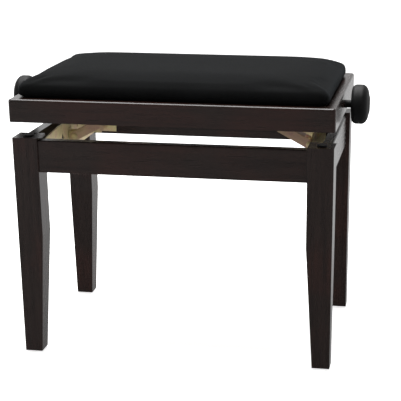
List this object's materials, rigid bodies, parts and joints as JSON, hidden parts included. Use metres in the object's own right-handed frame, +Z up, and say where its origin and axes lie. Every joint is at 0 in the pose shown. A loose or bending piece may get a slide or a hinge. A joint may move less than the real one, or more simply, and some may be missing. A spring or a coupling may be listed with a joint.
{
  "type": "piano bench",
  "caption": "Height-adjustable piano bench: four tapered wooden legs, dark wooden frame, black velour cushion and a cross spindle with a round knob at each end.",
  "frame": {"origin": "on the floor under the middle of the seat", "axes": "+X along the bench towards the right-hand knob, +Y to the rear, +Z up"},
  "size_m": [0.64, 0.356, 0.4964],
  "materials": {
    "stained_wood": "satin",
    "plywood": "dark stained",
    "black_velour": "velour",
    "glide_plastic": "satin",
    "pad_felt": "matte",
    "black_plastic": "satin",
    "bright_steel": "machined",
    "dark_steel": "blackened",
    "yellow_zinc": "yellow passivated zinc"
  },
  "bodies": {
    "stand": {"leg_front_left": "stained_wood", "leg_front_right": "stained_wood", "leg_rear_left": "stained_wood", "leg_rear_right": "stained_wood", "stand_rail_front": "stained_wood", "stand_rail_rear": "stained_wood", "stand_rail_left": "stained_wood", "stand_rail_right": "stained_wood", "glides": "glide_plastic", "leg_pads": "pad_felt", "base_bracket_left": "yellow_zinc", "base_bracket_right": "yellow_zinc", "base_bracket_screws": "yellow_zinc", "arm_pin_left": "yellow_zinc", "arm_pin_right": "yellow_zinc"},
    "arm_left": {"arm_left": "yellow_zinc", "link_pin_left": "yellow_zinc"},
    "arm_right": {"arm_right": "yellow_zinc", "link_pin_right": "yellow_zinc"},
    "links_left": {"link_left_front": "yellow_zinc", "link_left_rear": "yellow_zinc"},
    "links_right": {"link_right_front": "yellow_zinc", "link_right_rear": "yellow_zinc"},
    "nut_left": {"nut_left": "bright_steel", "nut_clips_left": "yellow_zinc"},
    "nut_right": {"nut_right": "bright_steel", "nut_clips_right": "yellow_zinc"},
    "seat": {"seat_rail_front": "stained_wood", "seat_rail_rear": "stained_wood", "seat_rail_left": "stained_wood", "seat_rail_right": "stained_wood", "seat_board": "plywood", "cushion": "black_velour", "seat_bracket_left": "yellow_zinc", "seat_bracket_right": "yellow_zinc", "seat_bracket_screws": "yellow_zinc", "seat_pins_left": "yellow_zinc", "seat_pins_right": "yellow_zinc", "spindle_bush_left": "black_plastic", "spindle_bush_right": "black_plastic"},
    "spindle": {"spindle": "bright_steel", "knob_left": "black_plastic", "knob_right": "black_plastic", "knob_grub_screws": "dark_steel"}
  },
  "joints": [
    {"name": "lift", "type": "hinge", "parent": "stand", "child": "arm_left", "pos_m": [-0.214, 0, 0.35959], "axis": [0, -1, 0], "range_deg": [-10.5, 40.8]},
    {"name": "link_left_fold", "type": "hinge", "parent": "arm_left", "child": "links_left", "pos_m": [-0.1475, 0, 0.39554], "axis": [0, 1, 0], "range_deg": [-22, 82.6]},
    {"name": "seat_level", "type": "hinge", "parent": "links_left", "child": "seat", "pos_m": [-0.214, 0, 0.4315], "axis": [0, -1, 0], "range_deg": [-11.5, 41.8]},
    {"name": "nut_left_level", "type": "hinge", "parent": "arm_left", "child": "nut_left", "pos_m": [-0.081, 0, 0.4315], "axis": [0, 1, 0], "range_deg": [-11.5, 41.8]},
    {"name": "arm_right_lift", "type": "hinge", "parent": "stand", "child": "arm_right", "pos_m": [0.214, 0, 0.35959], "axis": [0, 1, 0], "range_deg": [-11.5, 41.8]},
    {"name": "link_right_fold", "type": "hinge", "parent": "arm_right", "child": "links_right", "pos_m": [0.1475, 0, 0.39554], "axis": [0, -1, 0], "range_deg": [-22, 82.6]},
    {"name": "nut_right_level", "type": "hinge", "parent": "arm_right", "child": "nut_right", "pos_m": [0.081, 0, 0.4315], "axis": [0, -1, 0], "range_deg": [-11.5, 41.8]},
    {"name": "spindle_turn", "type": "hinge", "parent": "seat", "child": "spindle", "pos_m": [0, 0, 0.4315], "axis": [1, 0, 0], "range_deg": [-2236, 8628]}
  ],
  "couplings": [
    {"joint": "link_left_fold", "follows": "lift", "ratio": 2},
    {"joint": "seat_level", "follows": "lift", "ratio": 1},
    {"joint": "nut_left_level", "follows": "lift", "ratio": 1},
    {"joint": "arm_right_lift", "follows": "lift", "ratio": 1},
    {"joint": "link_right_fold", "follows": "lift", "ratio": 2},
    {"joint": "nut_right_level", "follows": "lift", "ratio": 1},
    {"joint": "spindle_turn", "follows": "lift", "ratio": 210.97}
  ]
}
